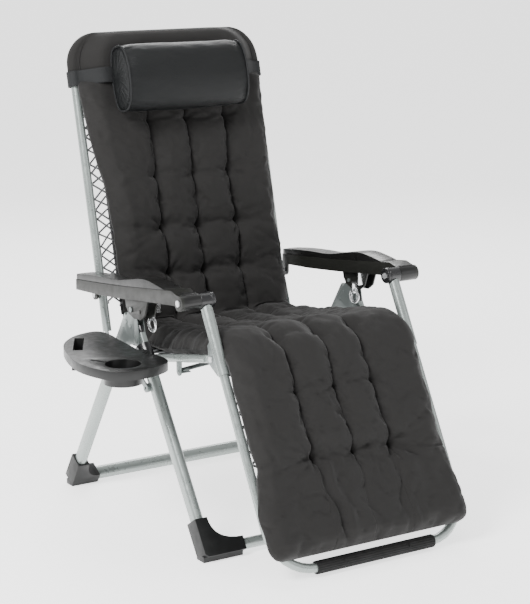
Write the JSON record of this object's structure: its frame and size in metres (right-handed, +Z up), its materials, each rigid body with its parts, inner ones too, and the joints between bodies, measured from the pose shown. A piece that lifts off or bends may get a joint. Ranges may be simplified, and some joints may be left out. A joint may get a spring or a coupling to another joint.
{
  "type": "zero gravity recliner chair",
  "caption": "Folding zero gravity recliner with a tubular steel frame, tufted cushion, sliding headrest pillow, armrest locks and a side tray with cup holder.",
  "frame": {"origin": "bottom centre of the bounding box, on the floor", "axes": "+Z up; the sitter faces -Y; +X is the sitter's left, so the side tray is on -X"},
  "size_m": [0.8992, 1.0284, 1.1865],
  "materials": {
    "silver_tube": "satin silver-grey powder coat",
    "hinge_plate": "satin silver-grey powder coat",
    "bolt_steel": "zinc plated",
    "chrome": "polished",
    "arm_plastic": "fine grain",
    "pad_plastic": "fine grain, slight sheen",
    "black_plastic": "semi-gloss",
    "foot_plastic": "matte",
    "grip_rubber": "ribbed, matte",
    "sling_fabric": "woven textilene",
    "cushion_fabric": "soft brushed polyester",
    "pillow_fabric": "woven textilene"
  },
  "bodies": {
    "base": {"rear_leg_frame": "silver_tube", "base_hinge_web_right": "hinge_plate", "base_hinge_web_left": "hinge_plate", "rear_foot_right": "foot_plastic", "rear_foot_left": "foot_plastic", "armrest_right": "arm_plastic", "armrest_left": "arm_plastic", "armrest_pad_right": "pad_plastic", "armrest_pad_left": "pad_plastic", "armrest_bracket_right": "arm_plastic", "armrest_bracket_left": "arm_plastic", "lock_plate_right": "chrome", "lock_plate_left": "chrome", "arm_front_pivot_right": "bolt_steel", "arm_front_pivot_left": "bolt_steel"},
    "front_leg": {"front_leg_frame": "silver_tube", "tray_clip": "black_plastic", "front_leg_cap_right": "black_plastic", "front_leg_cap_left": "black_plastic", "front_foot_right": "foot_plastic", "front_foot_left": "foot_plastic"},
    "leg_rest": {"leg_u_frame": "silver_tube", "foot_bar_grip": "grip_rubber", "leg_sling": "sling_fabric", "leg_cushion": "cushion_fabric", "leg_hub_right": "black_plastic", "leg_hub_left": "black_plastic", "leg_upper_tube_right": "silver_tube", "leg_upper_tube_left": "silver_tube", "leg_hinge_web_right": "hinge_plate", "leg_hinge_web_left": "hinge_plate", "seat_front_pivot_right": "bolt_steel", "seat_front_pivot_left": "bolt_steel"},
    "seat": {"seat_cross_bar": "hinge_plate", "seat_sling": "sling_fabric", "seat_cushion": "cushion_fabric", "knee_cushion": "cushion_fabric", "seat_rail_right": "silver_tube", "seat_rail_left": "silver_tube", "cross_bar_bracket_right": "hinge_plate", "cross_bar_bracket_left": "hinge_plate"},
    "back": {"back_u_frame": "silver_tube", "back_sling": "sling_fabric", "back_cushion": "cushion_fabric", "cushion_hood": "cushion_fabric", "back_hinge_web_right": "hinge_plate", "back_hinge_web_left": "hinge_plate", "seat_rear_pivot_right": "bolt_steel", "seat_rear_pivot_left": "bolt_steel", "arm_rear_pivot_right": "bolt_steel", "arm_rear_pivot_left": "bolt_steel"},
    "headrest": {"headrest_pillow": "pillow_fabric", "pillow_strap": "pillow_fabric"},
    "stay_right": {"leg_stay_right": "hinge_plate"},
    "stay_left": {"leg_stay_left": "hinge_plate"},
    "ring_right": {"lock_ring_right": "chrome"},
    "ring_left": {"lock_ring_left": "chrome"},
    "tray": {"side_tray": "pad_plastic"}
  },
  "joints": [
    {"name": "leg_rest_recline", "type": "hinge", "parent": "base", "child": "leg_rest", "pos_m": [0.09958, -0.17534, 0.608], "axis": [1, 0, 0], "range_deg": [-48, 0]},
    {"name": "seat_front_hinge", "type": "hinge", "parent": "leg_rest", "child": "seat", "pos_m": [0.09958, -0.21974, 0.475], "axis": [1, 0, 0], "range_deg": [0, 48], "deforming": ["knee_cushion"]},
    {"name": "seat_rear_hinge", "type": "hinge", "parent": "seat", "child": "back", "pos_m": [0.09958, 0.29826, 0.398], "axis": [1, 0, 0], "range_deg": [-48, 0]},
    {"name": "front_leg_fold", "type": "hinge", "parent": "base", "child": "front_leg", "pos_m": [0.09958, 0.04766, 0.474], "axis": [1, 0, 0], "range_deg": [0, 48]},
    {"name": "stay_fold_right", "type": "hinge", "parent": "front_leg", "child": "stay_right", "pos_m": [-0.24542, -0.01834, 0.369], "axis": [1, 0, 0], "range_deg": [-19.2, 0]},
    {"name": "stay_fold_left", "type": "hinge", "parent": "front_leg", "child": "stay_left", "pos_m": [0.44458, -0.01834, 0.369], "axis": [1, 0, 0], "range_deg": [-19.2, 0]},
    {"name": "headrest_slide", "type": "slide", "parent": "back", "child": "headrest", "axis": [0, -0.2368, -0.9715], "range_m": [0, 0.12]},
    {"name": "ring_swing_right", "type": "hinge", "parent": "base", "child": "ring_right", "pos_m": [-0.20442, 0.02566, 0.5305], "axis": [0, 1, 0], "range_deg": [-45, 12]},
    {"name": "ring_swing_left", "type": "hinge", "parent": "base", "child": "ring_left", "pos_m": [0.40358, 0.02566, 0.5305], "axis": [0, 1, 0], "range_deg": [-12, 45]},
    {"name": "tray_lift", "type": "slide", "parent": "front_leg", "child": "tray", "axis": [0, 0, 1], "range_m": [0, 0.05]}
  ],
  "couplings": [
    {"joint": "seat_front_hinge", "follows": "leg_rest_recline", "ratio": -1},
    {"joint": "seat_rear_hinge", "follows": "leg_rest_recline", "ratio": 1},
    {"joint": "stay_fold_right", "follows": "front_leg_fold", "ratio": -0.4},
    {"joint": "stay_fold_left", "follows": "front_leg_fold", "ratio": -0.4}
  ]
}
